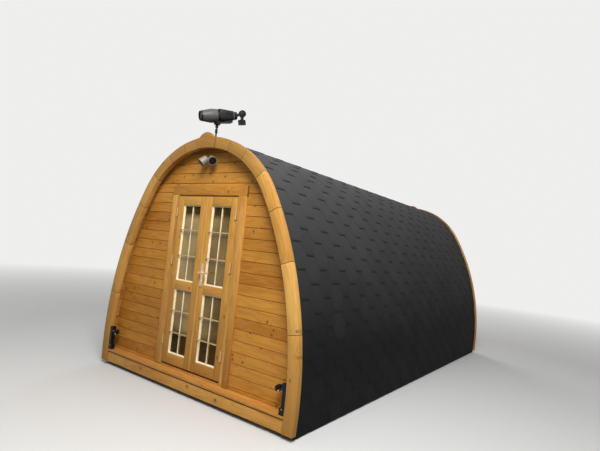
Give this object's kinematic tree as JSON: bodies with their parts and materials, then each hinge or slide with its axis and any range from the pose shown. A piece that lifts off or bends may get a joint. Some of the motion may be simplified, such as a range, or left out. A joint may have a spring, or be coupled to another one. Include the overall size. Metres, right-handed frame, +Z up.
{
  "type": "camping pod",
  "caption": "Timber camping pod with a pointed-arch section, shingled shell, segmented arch trim with keystones, glazed double doors and porch lamps.",
  "frame": {"origin": "on the ground under the middle of the pod, at the underside of the middle skid", "axes": "+X across to the right as seen from the front, +Y along the pod from its door end to its back, +Z up"},
  "size_m": [3.0096, 5.9905, 3.1522],
  "materials": {
    "wall_timber": "stained softwood boards, honey brown",
    "trim_timber": "stained softwood trim, lighter honey",
    "door_timber": "stained softwood joinery",
    "shell_timber": "planed softwood staves",
    "floor_timber": "sawn and planed softwood",
    "roofing": "bitumen shingles with dark mineral grit",
    "glass": "clear safety glass",
    "hinge_metal": "zinc plated",
    "handle_metal": "satin",
    "black_fitting": "satin black",
    "lamp_shell": "off-white moulding"
  },
  "bodies": {
    "pod": {"front_wall_left": "wall_timber", "front_wall_right": "wall_timber", "front_wall_top": "wall_timber", "back_wall": "wall_timber", "front_arch_left": "trim_timber", "front_arch_right": "trim_timber", "back_arch_left": "trim_timber", "back_arch_right": "trim_timber", "front_keystone": "trim_timber", "back_keystone": "trim_timber", "front_fascia": "trim_timber", "back_fascia": "trim_timber", "side_casings": "trim_timber", "casing_head": "trim_timber", "door_jambs": "door_timber", "door_head": "door_timber", "door_threshold": "door_timber", "shell_crown_left": "shell_timber", "shell_crown_right": "shell_timber", "shell_upper_left": "shell_timber", "shell_upper_right": "shell_timber", "shell_lower_left": "shell_timber", "shell_lower_right": "shell_timber", "floor_boards": "floor_timber", "porch_deck": "floor_timber", "back_deck": "floor_timber", "floor_joists": "floor_timber", "skids": "floor_timber", "roofing_left": "roofing", "roofing_right": "roofing", "ridge_cap": "roofing", "jamb_hinges": "hinge_metal", "porch_lamp_left": "black_fitting", "porch_lamp_right": "black_fitting", "roof_spot": "black_fitting", "roof_spot_stem": "black_fitting", "crown_lamp": "lamp_shell"},
    "left_door": {"left_leaf": "door_timber", "left_glass": "glass", "leaf_hinges_left": "hinge_metal"},
    "right_door": {"right_leaf": "door_timber", "right_glass": "glass", "leaf_hinges_right": "hinge_metal", "handle_plates": "handle_metal"},
    "lever_body": {"lever": "handle_metal"}
  },
  "joints": [
    {"name": "right_door_hinge", "type": "hinge", "parent": "pod", "child": "right_door", "pos_m": [0.4655, -2.8565, 1.385], "axis": [0, 0, 1], "range_deg": [0, 105]},
    {"name": "left_door_hinge", "type": "hinge", "parent": "pod", "child": "left_door", "pos_m": [-0.4655, -2.8565, 1.385], "axis": [0, 0, -1], "range_deg": [0, 105]},
    {"name": "lever_turn", "type": "hinge", "parent": "right_door", "child": "lever_body", "pos_m": [0.054, -2.848, 1.296], "axis": [0, 1, 0], "range_deg": [0, 40], "stiffness_Nm_per_rad": 3, "springref_deg": -20.05}
  ]
}
